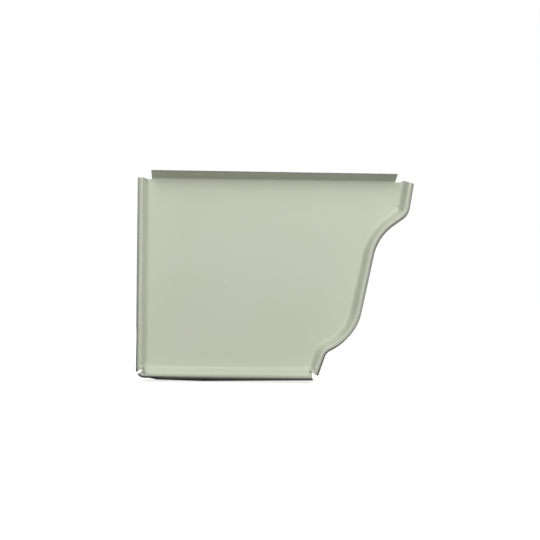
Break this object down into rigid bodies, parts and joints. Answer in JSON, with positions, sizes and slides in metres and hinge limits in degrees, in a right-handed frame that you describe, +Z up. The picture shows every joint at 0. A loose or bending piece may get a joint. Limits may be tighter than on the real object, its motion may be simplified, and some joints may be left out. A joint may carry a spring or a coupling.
{
  "type": "gutter end cap",
  "caption": "Folded sheet end cap with a recessed panel, a rim that follows an ogee gutter profile with legs turned back over it, and a stiffening flange along the top.",
  "frame": {"origin": "lower back corner of the gutter's cut end where it seats in the cap: inside faces of the back and bottom legs, against the inside of the crest", "axes": "+X from the gutter's back to its front, +Z up, +Y into the gutter, so the side that shows faces -Y"},
  "size_m": [0.1301, 0.0114, 0.0995],
  "materials": {
    "cap_paint": "satin"
  },
  "bodies": {
    "root": {"end_cap": "cap_paint"}
  },
  "joints": []
}
